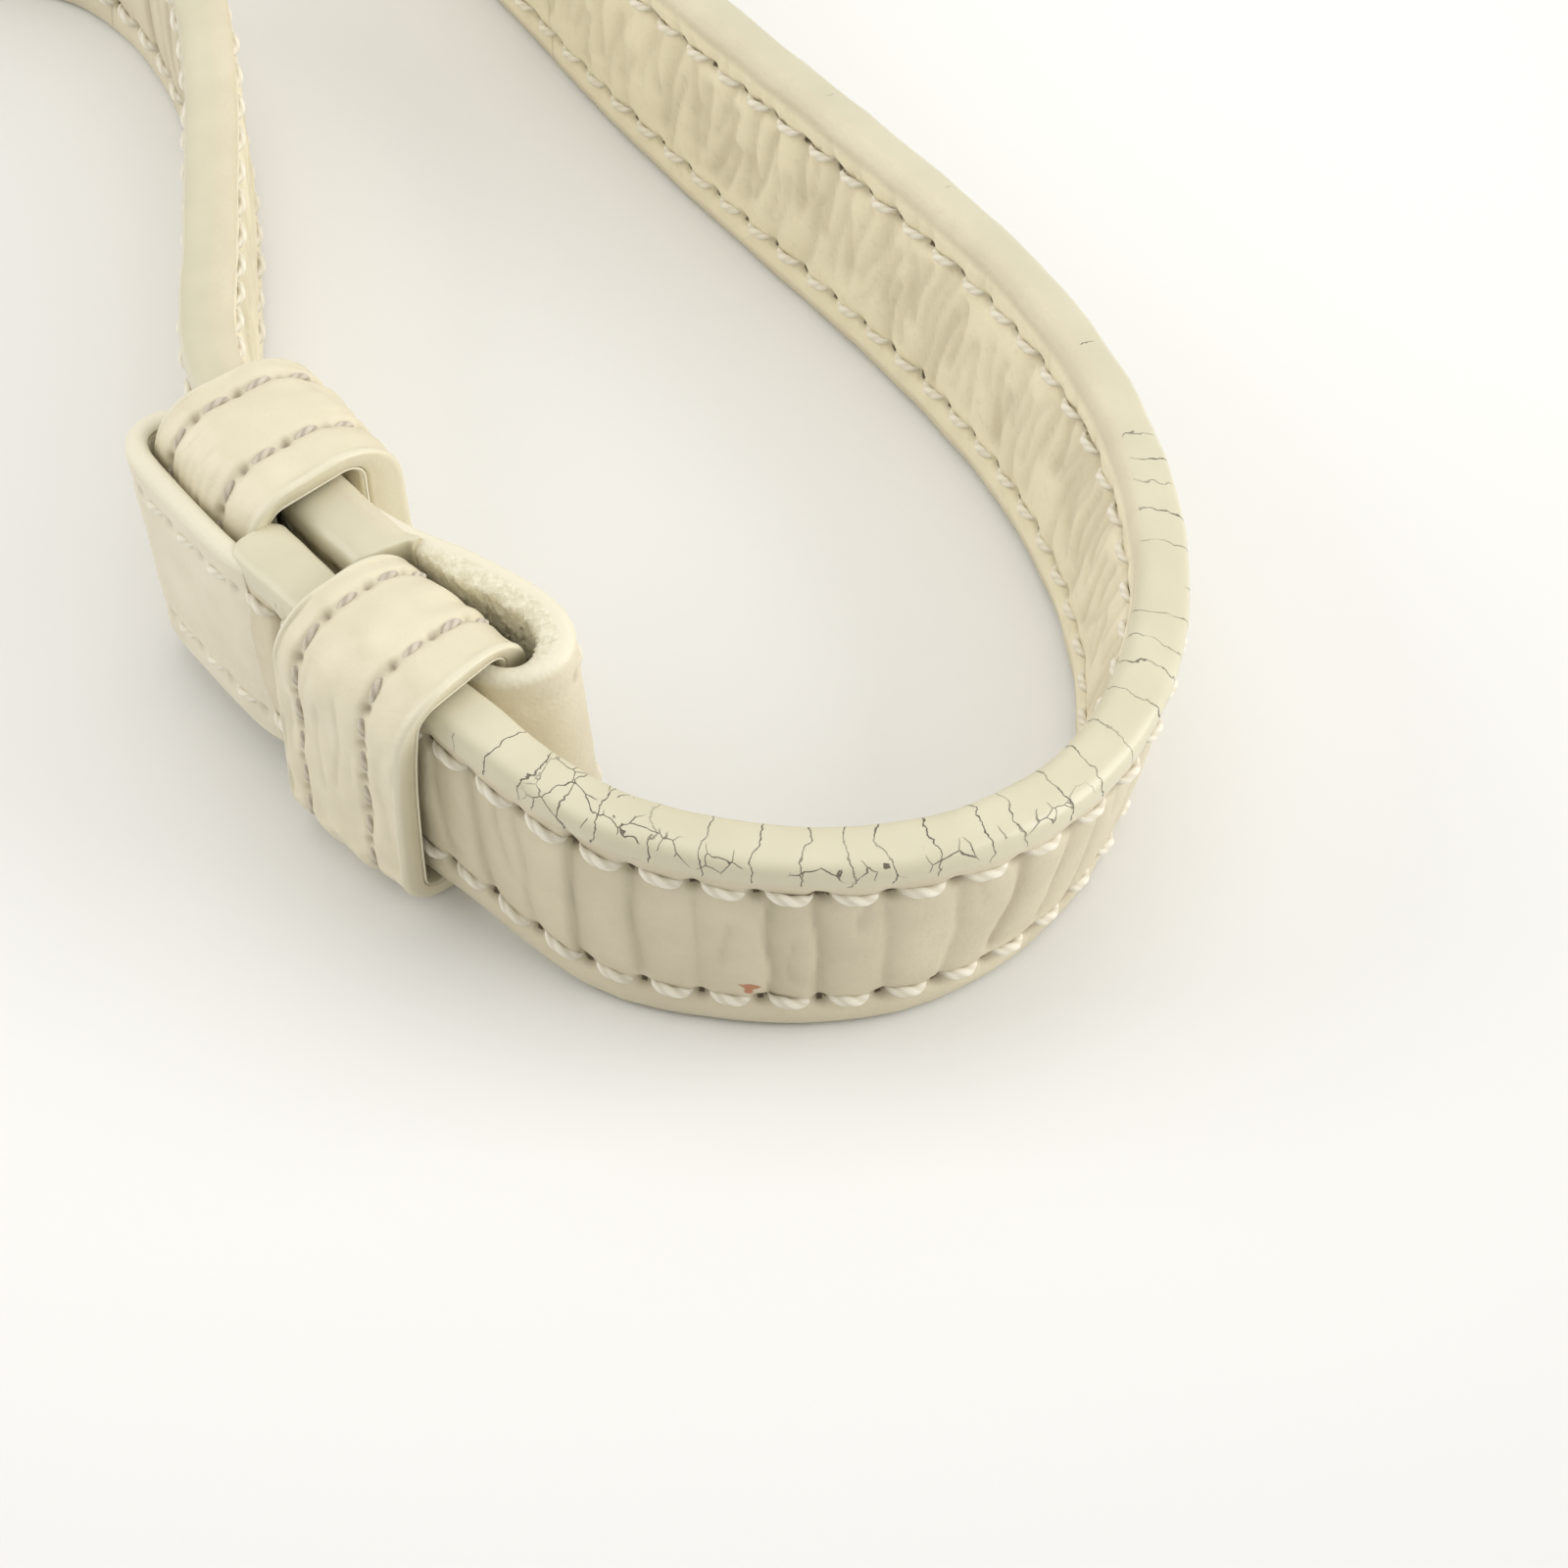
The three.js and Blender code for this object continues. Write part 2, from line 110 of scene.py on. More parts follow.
class Route:
    """The strap's middle line, u mm from its lower end: headings from a chain of arcs, rounded off and
    added up into x and y, with a lean and a height of its own at each place."""

    def __init__(self, step=0.25):
        first = (ARC_END_B - UPPER_END - 0.3, ARC_R + STRAND_OFF)
        last = (LOWER_START - 0.3 + RUN_ON - ARC_END_A, ARC_R - STRAND_OFF)
        start = on_arc(UPPER_END + 0.3, STRAND_OFF)[0]
        chain = [(first[0] * first[1] / ARC_R, math.degrees(first[0] / ARC_R))] + ROUTE_B
        back = [(l, -t) for l, t in reversed(ROUTE_A)]
        end = [(last[0] * last[1] / ARC_R, math.degrees(last[0] / ARC_R))]
        head0 = ARC_HEADING + math.degrees((UPPER_END + 0.3) / ARC_R)
        head_a = ARC_HEADING + math.degrees(ARC_END_A / ARC_R)
        h0 = head0 + sum(t for _, t in chain)
        h1 = head_a + 360 + sum(t for _, t in ROUTE_A)
        xy_b = start[:2] + self.ends(chain, head0)
        xy_a = on_arc(ARC_END_A, -STRAND_OFF)[0][:2] + self.ends(ROUTE_A, head_a + 180)
        r0, r1 = math.radians(h0), math.radians(h1)
        dx, dy = xy_a - xy_b - FAR_R * np.array([math.sin(r1) - math.sin(r0), math.cos(r0) - math.cos(r1)])
        det = math.sin(r1 - r0)
        one = (dx * math.sin(r1) - dy * math.cos(r1)) / det
        two = (dy * math.cos(r0) - dx * math.sin(r0)) / det
        self.len_b = sum(l for l, _ in chain)
        self.arc_b = chain[0][0]
        chain += [(one, 0), ((r1 - r0) * FAR_R, h1 - h0), (two, 0)]
        self.len_far = sum(l for l, _ in chain)
        chain += back
        self.len_ring = sum(l for l, _ in chain)
        chain += end
        knots = np.concatenate([[0], np.cumsum([l for l, _ in chain])])
        heads = head0 + np.concatenate([[0], np.cumsum([t for _, t in chain])])
        n = int(knots[-1] / step)
        self.u = np.linspace(0, knots[-1], n + 1)
        d = self.u[1]
        self.heading = blurred(np.interp(self.u, knots, heads), 2.6 / d)
        mid = np.radians((self.heading[1:] + self.heading[:-1]) / 2)
        x = start[0] + np.concatenate([[0], np.cumsum(np.cos(mid))]) * d
        y = start[1] + np.concatenate([[0], np.cumsum(np.sin(mid))]) * d
        goal = on_arc(LOWER_START - 0.3 + RUN_ON, -STRAND_OFF)[0]
        share = ease((self.u - 120) / (self.len_far - 120))
        self.x, self.y = x + (goal[0] - x[-1]) * share, y + (goal[1] - y[-1]) * share
        s_b = ARC_END_B + self.u - self.arc_b
        d_a = self.len_ring - self.u
        lean = np.where(self.u < self.len_b, np.interp(s_b, *zip(*LEAN_B)), np.interp(d_a, *zip(*LEAN_A)))
        both = (self.u > self.len_b) & (d_a > 104)
        lean = np.where(both, np.interp(s_b, *zip(*LEAN_B)) + np.interp(d_a, *zip(*LEAN_A)), lean)
        self.lean = blurred(lean, 3 / d)
        lift = np.where(self.u < self.len_far / 2, 1 - ease((s_b - 33.5) / 14.5),
                        1 - ease((d_a - 4) / 26)) * ARC_LIFT
        tilt = math.sin(math.radians(ARC_LEAN)) * STRAND_OFF
        lift = lift - tilt * (1 - ease((s_b - 37) / 8)) + tilt * (1 - ease(d_a / 8))
        l = np.abs(np.radians(self.lean))
        self.z = H * np.cos(l) + (T - 0.9) * np.sin(l) + blurred(lift, 2 / d)
        self.length = self.u[-1]

    @staticmethod
    def ends(chain, heading):
        """Where a chain of arcs ends, from its start."""
        x = y = 0.0
        for l, t in chain:
            m, half = math.radians(heading + t / 2), math.radians(t / 2)
            c = l * (math.sin(half) / half if half else 1)
            x, y, heading = x + c * math.cos(m), y + c * math.sin(m), heading + t
        return np.array([x, y])

    def __call__(self, u):
        a, b, t = axes_of(np.interp(u, self.u, self.heading), np.interp(u, self.u, self.lean))
        return np.stack([np.interp(u, self.u, k) for k in (self.x, self.y, self.z)], -1), a, b, t


route = Route()


# ---------------------------------------------------------------- mesh making
def quad_grid(rows, cols, closed_rows=False, closed_cols=True, base=0):
    """Four-cornered faces of a rows x cols grid of points, joined round where closed."""
    i = np.arange(rows if closed_rows else rows - 1)[:, None]
    j = np.arange(cols if closed_cols else cols - 1)[None]
    i2, j2 = (i + 1) % rows, (j + 1) % cols
    return np.stack([i * cols + j, i * cols + j2, i2 * cols + j2, i2 * cols + j], -1).reshape(-1, 4) + base


def piece(name, points, faces, material, attributes=None, uv=None, caps=()):
    """A mesh object at the origin from an array of points in mm. All faces are turned over where the sum
    of v0 . (v1 x v2 + v2 x v3), six times the volume between the four-cornered faces and the origin, is
    negative. The caps don't count in that sum."""
    pts = points.reshape(-1, 3) * MM
    q = faces
    v0, v1, v2, v3 = (pts[q[:, k]] for k in range(4))
    if np.einsum("ij,ij->i", v0, np.cross(v1, v2) + np.cross(v2, v3)).sum() < 0:
        q = q[:, ::-1]
        caps = [c[::-1] for c in caps]
    mesh = bpy.data.meshes.new(name)
    mesh.from_pydata(pts.tolist(), [], q.tolist() + [list(map(int, c)) for c in caps])
    mesh.polygons.foreach_set("use_smooth", np.arange(len(mesh.polygons)) < len(q))
    for key, values in (attributes or {}).items():
        flat = np.ascontiguousarray(values, np.float32).ravel()
        mesh.attributes.new(key, "FLOAT", "POINT").data.foreach_set("value", flat)
    if uv is not None:
        loops = np.zeros(len(mesh.loops), int)
        mesh.loops.foreach_get("vertex_index", loops)
        flat = np.ascontiguousarray(uv.reshape(-1, 2)[loops], np.float32).ravel()
        mesh.uv_layers.new(name="surface").data.foreach_set("uv", flat)
    mesh.materials.append(material)
    obj = bpy.data.objects.new(name, mesh)
    bpy.context.scene.collection.objects.link(obj)
    return obj


def waves(x, y, scale, seed, count=9):
    """Soft unevenness: a sum of sine waves in seeded directions, about -1 to 1."""
    r = np.random.default_rng(seed)
    out = 0
    for _ in range(count):
        f, ang, ph = r.uniform(0.5, 1.6) / scale, r.uniform(0, math.pi), r.uniform(0, 6.28)
        out = out + np.sin(2 * math.pi * f * (x * math.cos(ang) + y * math.sin(ang)) + ph)
    return out / math.sqrt(count) * 0.7


# ---------------------------------------------------------------- materials
class Wire:
    """A shader socket that takes part in sums: an expression on values adds its Math nodes."""

    def __init__(self, finish, socket):
        self.finish, self.socket = finish, socket

    def math(self, operation, *others):
        return self.finish.node("ShaderNodeMath", {"operation": operation}, [self, *others])

    def __add__(self, o):
        return self.math("ADD", o)

    def __radd__(self, o):
        return self.math("ADD", o)

    def __sub__(self, o):
        return self.math("SUBTRACT", o)

    def __rsub__(self, o):
        return self.finish.node("ShaderNodeMath", {"operation": "SUBTRACT"}, [o, self])

    def __mul__(self, o):
        return self.math("MULTIPLY", o)

    def __rmul__(self, o):
        return self.math("MULTIPLY", o)

    def clamp(self):
        return self.finish.node("ShaderNodeClamp", {}, [self, 0.0, 1.0])

    def rise(self, low, high):
        """0 below low, 1 above high, smooth between."""
        inputs = {"Value": self, "From Min": low, "From Max": high}
        return self.finish.node("ShaderNodeMapRange", {"interpolation_type": "SMOOTHSTEP"}, inputs)


class Finish:
    """One material, built node by node."""

    def __init__(self, name, roughness=0.5, coat=0.0, coat_roughness=0.3, specular=0.5, sheen=0.0):
        self.material = bpy.data.materials.new(name)
        self.material.use_nodes = True
        self.tree = self.material.node_tree
        self.shader = next(n for n in self.tree.nodes if n.type == "BSDF_PRINCIPLED")
        for key, value in {"Roughness": roughness, "Coat Weight": coat, "Coat Roughness": coat_roughness,
                           "Specular IOR Level": specular, "Sheen Weight": sheen}.items():
            self.shader.inputs[key].default_value = value

    def node(self, kind, settings=None, inputs=None, out=0):
        n = self.tree.nodes.new(kind)
        for key, value in (settings or {}).items():
            setattr(n, key, value)
        pairs = inputs.items() if isinstance(inputs, dict) else enumerate(inputs or [])
        for key, value in pairs:
            if isinstance(value, Wire):
                self.tree.links.new(value.socket, n.inputs[key])
            elif value is not None:
                n.inputs[key].default_value = value
        return Wire(self, n.outputs[out])

    def attribute(self, name):
        return self.node("ShaderNodeAttribute", {"attribute_name": name}, out="Fac")

    def place(self):
        return self.node("ShaderNodeTexCoord", out="Object")

    def surface(self):
        return self.node("ShaderNodeUVMap", {"uv_map": "surface"})

    def stretched(self, vector, x=1.0, y=1.0, z=1.0):
        return self.node("ShaderNodeVectorMath", {"operation": "MULTIPLY"}, [vector, (x, y, z)])

    def shifted(self, vector, noise, amount):
        """The vector moved by a colour noise, amount each way."""
        centred = self.node("ShaderNodeVectorMath", {"operation": "SUBTRACT"}, [noise, (0.5, 0.5, 0.5)])
        scaled = self.node("ShaderNodeVectorMath", {"operation": "SCALE"}, {0: centred, "Scale": amount})
        return self.node("ShaderNodeVectorMath", {"operation": "ADD"}, [vector, scaled])

    def noise(self, vector, scale, detail=3.0, rough=0.5, out="Fac"):
        inputs = {"Vector": vector, "Scale": scale, "Detail": detail, "Roughness": rough}
        return self.node("ShaderNodeTexNoise", {}, inputs, out=out)

    def cells(self, vector, scale, feature="F1", randomness=1.0):
        inputs = {"Vector": vector, "Scale": scale, "Randomness": randomness}
        return self.node("ShaderNodeTexVoronoi", {"feature": feature}, inputs, out="Distance")

    def mix(self, factor, first, second):
        n = self.tree.nodes.new("ShaderNodeMix")
        n.data_type = "RGBA"
        for key, value in ((0, factor), (6, first), (7, second)):
            if isinstance(value, Wire):
                self.tree.links.new(value.socket, n.inputs[key])
            else:
                n.inputs[key].default_value = value if key == 0 else (*value, 1.0)
        return Wire(self, n.outputs[2])

    def set(self, **sockets):
        for key, value in sockets.items():
            self.tree.links.new(value.socket, self.shader.inputs[key.replace("_", " ")])
        return self

    def bump(self, height, distance, strength=1.0, below=None):
        inputs = {"Strength": strength, "Distance": distance, "Height": height}
        if below is not None:
            inputs["Normal"] = below
        return self.node("ShaderNodeBump", {}, inputs)


def leather_grain(f, vector, pore=0.55, soft=1.0):
    """Height of fine leather grain: small rounded cells with a little noise. vector is in metres, and
    pore is the cell size in mm."""
    cell = f.cells(f.shifted(vector, f.noise(vector, 900 / pore, 2.0, out="Color"), 0.00025 * pore),
                   1000 / pore)
    return cell.rise(0.05, 0.75) * 0.6 + f.noise(vector, 2600, 3.0, 0.6) * (0.4 * soft)


def strap_finish():
    """Face leather and painted edge in one: the paint attribute says which, the recess mask paints shade into
    creases, grooves and needle holes, strain and net open cracks in the paint, and chip and scuff are where
    it is knocked off."""
    f = Finish("strap_leather", coat_roughness=0.24, specular=0.45)
    at, uv = f.place(), f.surface()
    paint, recess_shade, strain, scuff = (f.attribute(k) for k in ("paint", "recess_shade", "strain", "scuff"))
    most, inside, chip = (f.attribute(k) for k in ("net", "inside", "chip"))
    cloud, fine = f.noise(at, 120, 3.0, 0.55), f.noise(at, 900, 4.0, 0.6)
    face = f.mix(cloud.rise(0.3, 0.7), (0.608, 0.550, 0.400), (0.664, 0.604, 0.444))
    face = f.mix(inside * 0.85, face, (0.830, 0.762, 0.560))
    face = f.mix((fine.rise(0.52, 0.75) * 0.3).clamp(), face, (0.60, 0.54, 0.38))
    # painted shade: creases, row grooves and needle holes darkened, the deepest holes nearly black
    face = f.mix((recess_shade * (0.85 - inside * 0.35)).clamp(), face, (0.30, 0.25, 0.155))
    face = f.mix(recess_shade.rise(0.8, 1.0), face, (0.10, 0.075, 0.04))
    edge = f.mix(cloud.rise(0.35, 0.7), (0.605, 0.567, 0.408), (0.646, 0.606, 0.443))
    # cracks: long ones across the edge, and a net of them where the paint is strained most
    wide, tight = f.noise(uv, 0.28, 2.0, 0.5, out="Color"), f.noise(uv, 1.3, 3.0, 0.6, out="Color")
    wander = f.shifted(f.shifted(uv, wide, 2.6), tight, 0.7)
    along = f.node("ShaderNodeSeparateXYZ", {}, [wander])
    one_way = {"voronoi_dimensions": "1D", "feature": "DISTANCE_TO_EDGE"}
    across = f.node("ShaderNodeTexVoronoi", one_way, {"W": along, "Scale": 0.30}, out="Distance")
    bent = f.shifted(uv, f.noise(uv, 0.9, 2.0, 0.5, out="Color"), 0.42)
    net = f.cells(f.stretched(bent, 0.46, 0.38, 1), 1.0, "DISTANCE_TO_EDGE")
    patch = f.noise(f.stretched(uv, 0.16, 0.30, 1), 1.0, 2.0)
    reach = (strain * 1.1 + patch * 1.4 - 1.08).clamp()
    depth = f.noise(f.stretched(uv, 0.5, 0.2, 1), 1.0, 1.0).rise(0.3, 0.62) * 0.7 + 0.3
    long_crack = (1 - across.rise(0.006, 0.019)) * reach.rise(0.02, 0.16) * depth
    net_crack = (1 - net.rise(0.004, 0.018)) * (most * patch.rise(0.36, 0.54)).rise(0.35, 0.7)
    crack = f.node("ShaderNodeMath", {"operation": "MAXIMUM"},
                   [long_crack, net_crack]) * paint.rise(0.35, 0.8)
    crack = f.node("ShaderNodeMath", {"operation": "MAXIMUM"}, [crack, chip.rise(0.45, 0.6)])
    edge = f.mix(crack.clamp(), edge, (0.13, 0.11, 0.068))
    colour = f.mix(paint.rise(0.3, 0.7), face, edge)
    colour = f.mix(scuff.rise(0.3, 0.6), colour, (0.46, 0.20, 0.095))
    rough = 0.50 + fine * 0.12 - paint * 0.16 + recess_shade * 0.2 + crack * 0.3
    skin = leather_grain(f, at) * (1 - paint * 0.85)
    normal = f.bump(skin, 0.00006, 0.55)
    normal = f.bump(f.noise(at, 260, 3.0), 0.00022, 0.35, normal)
    normal = f.bump(1 - crack, 0.00022, 0.9, normal)
    f.set(Base_Color=colour, Roughness=rough.clamp(), Coat_Weight=(paint * 0.38 + 0.14).clamp(),
          Normal=normal)
    return f.material


def keeper_finish():
    """Smooth leather of the keepers, with the painted cut edge along both rims."""
    f = Finish("keeper_leather", coat=0.32, coat_roughness=0.24, specular=0.5)
    at = f.place()
    paint, recess_shade = f.attribute("paint"), f.attribute("recess_shade")
    cloud, fine = f.noise(at, 150, 3.0, 0.55), f.noise(at, 1100, 4.0, 0.6)
    colour = f.mix(cloud.rise(0.3, 0.7), (0.682, 0.624, 0.455), (0.732, 0.674, 0.498))
    colour = f.mix((fine.rise(0.5, 0.8) * 0.3).clamp(), colour, (0.70, 0.63, 0.48))
    # painted shade: stitch holes, stitch grooves and skin folds darkened
    colour = f.mix((recess_shade * 0.8).clamp(), colour, (0.36, 0.31, 0.215))
    colour = f.mix(paint.rise(0.3, 0.7), colour, (0.715, 0.668, 0.500))
    normal = f.bump(leather_grain(f, at, 0.45, 0.8), 0.00004, 0.4)
    normal = f.bump(f.noise(at, 300, 3.0), 0.0002, 0.4, normal)
    f.set(Base_Color=colour, Roughness=(0.42 + fine * 0.14 + recess_shade * 0.25).clamp(), Normal=normal)
    return f.material


def tail_finish():
    """Thin end of the strap: grain side, painted edges, and the raw flesh side turned inwards."""
    f = Finish("tail_leather", coat=0.1, specular=0.45)
    at = f.place()
    paint, raw, recess_shade = f.attribute("paint"), f.attribute("raw"), f.attribute("recess_shade")
    cloud, fine = f.noise(at, 140, 3.0, 0.55), f.noise(at, 1500, 5.0, 0.7)
    colour = f.mix(cloud.rise(0.3, 0.7), (0.690, 0.635, 0.490), (0.745, 0.690, 0.545))
    # painted shade: stitch holes darkened
    colour = f.mix((recess_shade * 0.75).clamp(), colour, (0.36, 0.31, 0.22))
    # pale raw flesh, made lighter than its own tone as painted light to lift the shaded bight
    flesh = f.mix(fine.rise(0.35, 0.7), (0.70, 0.655, 0.475), (0.90, 0.862, 0.700))
    colour = f.mix(raw, colour, flesh)
    colour = f.mix(paint.rise(0.35, 0.75) * 0.9, colour, (0.765, 0.722, 0.565))
    normal = f.bump(leather_grain(f, at, 0.5), 0.00006, 0.5)
    normal = f.bump(fine * raw, 0.0003, 0.8, normal)
    f.set(Base_Color=colour, Roughness=(0.48 + fine * 0.12 + raw * 0.3).clamp(), Normal=normal)
    return f.material


def thread_finish(name, light, dark):
    """Twisted waxed thread: fibres run along the ply, and the grooves between the plies are darkened as
    painted shade.
    """
    f = Finish(name, sheen=0.2, specular=0.35)
    at = f.place()
    ply, uv = f.attribute("ply"), f.surface()
    fibre = f.noise(f.stretched(uv, 6, 60, 1), 1.0, 3.0, 0.6)
    # painted shade: the grooves between the plies take the dark colour
    colour = f.mix(ply.rise(0.05, 0.75), dark, light)
    colour = f.mix((f.noise(at, 400, 2.0).rise(0.45, 0.75) * 0.5).clamp(), colour, dark)
    f.set(Base_Color=colour, Roughness=(0.6 + fibre * 0.2).clamp(), Normal=f.bump(fibre, 0.00005, 0.6))
    return f.material


STRAP = strap_finish()
KEEPER = keeper_finish()
TAIL = tail_finish()
THREAD = thread_finish("strap_thread", (0.82, 0.78, 0.66), (0.69, 0.64, 0.51))
KEEPER_THREAD = thread_finish("keeper_thread", (0.62, 0.56, 0.45), (0.42, 0.37, 0.29))

# ---------------------------------------------------------------- strap
HOLES = 1.4 + STITCH_PITCH * np.arange(int(route.length / STITCH_PITCH))
FACE_HALF = 9.2          # the faces' half width, between the rounded edges
CREASE_REACH = 7         # a crease is worked out this far from its middle
HOLE_DEPTH, ROW_DEPTH, PULL_DEPTH = 0.75, 0.15, 0.12
SWELL_MAIN, SWELL_SIDE = 0.65, 0.75   # how much thicker each strand is on the side that faces the other
THIN_SHARE, RIM_RISE = 0.78, 1.6      # the sliding strand thins by this share, over this length at the rim
CHIP_S, CHIP_W = 67.8, 10.75
SCUFF_S, SCUFF_W = 58.6, -5.5


def crease_lines(seed, side):
    """Seeded creases [middle, depth, reach back, reach on, slant, sway, phase, low end, high end], mm
    along and up the strap."""
    r = np.random.default_rng(seed)
    lines = []
    if side > 0:
        for h in HOLES:
            if r.random() < 0.9:
                lines.append((h + r.normal(0, 0.35), r.uniform(0.16, 0.52), r.uniform(0.16, 0.4),
                              r.uniform(0.8, 1.7), r.normal(0, 0.04),
                              r.uniform(0, 0.25), r.uniform(0, 6.3), r.uniform(-8.5, -5), r.uniform(5.5, 9)))
            if r.random() < 0.45:
                w = r.uniform(-5, 3)
                lines.append((h + r.uniform(1.2, 3.4), r.uniform(0.08, 0.22), 0.2, 0.5, r.normal(0, 0.05),
                              0.3, r.uniform(0, 6.3), w, w + r.uniform(3, 9)))
    else:
        u = 0.0
        while u < route.length:
            u += r.uniform(0.9, 2.3)
            w = r.uniform(-7.5, 0)
            lines.append((u, r.uniform(0.22, 0.62), r.uniform(0.3, 0.6), r.uniform(0.5, 1.3),
                          r.normal(-0.24, 0.10), r.uniform(0.1, 0.5),
                          r.uniform(0, 6.3), w, min(w + r.uniform(5, 15), 7.6)))
        for h in HOLES:
            for at in (0.0, 0.5):
                if r.random() < 0.8:
                    lines.append((h + at * STITCH_PITCH + r.normal(0, 0.2), r.uniform(0.10, 0.24), 0.3, 0.4,
                                  r.normal(-0.1, 0.1), 0.1, r.uniform(0, 6.3), 7.4, 9.9))
    return lines


def crease_depth(u, w, lines):
    """Each line sinks the leather by depth * exp(-distance / reach), less towards its two ends, within 7
    mm of it."""
    out = np.zeros((len(u), len(w)))
    for mid, depth, back, on, slant, sway, phase, low, high in lines:
        near = np.abs(u - mid) < CREASE_REACH
        if not near.any():
            continue
        x = u[near, None] - (mid + slant * w + sway * np.sin(0.6 * w + phase))
        window = ease((w - low) / 1.6 + 0.5) * ease((high - w) / 1.6 + 0.5)
        out[near] += depth * np.exp(-np.where(x > 0, x / on, -x / back)) * window
    return out


def strap_section():
    """One lap of the strap's outline: outer face up, round the upper edge, inner face down, round the
    lower edge. Returns side (+1 outer, -1 inner, 0 edge), half thickness share n and height w, with the
    edges as a squared-off ellipse."""
    w_face = np.concatenate([np.linspace(-FACE_HALF, -5.6, 12), np.linspace(-5.0, 5.0, 19),
                             np.linspace(5.6, FACE_HALF, 12)])
    turn = np.linspace(0, math.pi, 17)[1:-1]
    power = 2 / 3.6
    n_cap = np.sign(np.cos(turn)) * np.abs(np.cos(turn)) ** power
    w_cap = FACE_HALF + (H - FACE_HALF) * np.abs(np.sin(turn)) ** power
    side = np.concatenate([np.ones(len(w_face)), 0 * turn, -np.ones(len(w_face)), 0 * turn])
    n = np.concatenate([np.ones(len(w_face)), n_cap, -np.ones(len(w_face)), -n_cap])
    w = np.concatenate([w_face, w_cap, w_face[::-1], -w_cap])
    return side, n, w


CREASES = {1: crease_lines(5, 1), -1: crease_lines(6, -1)}


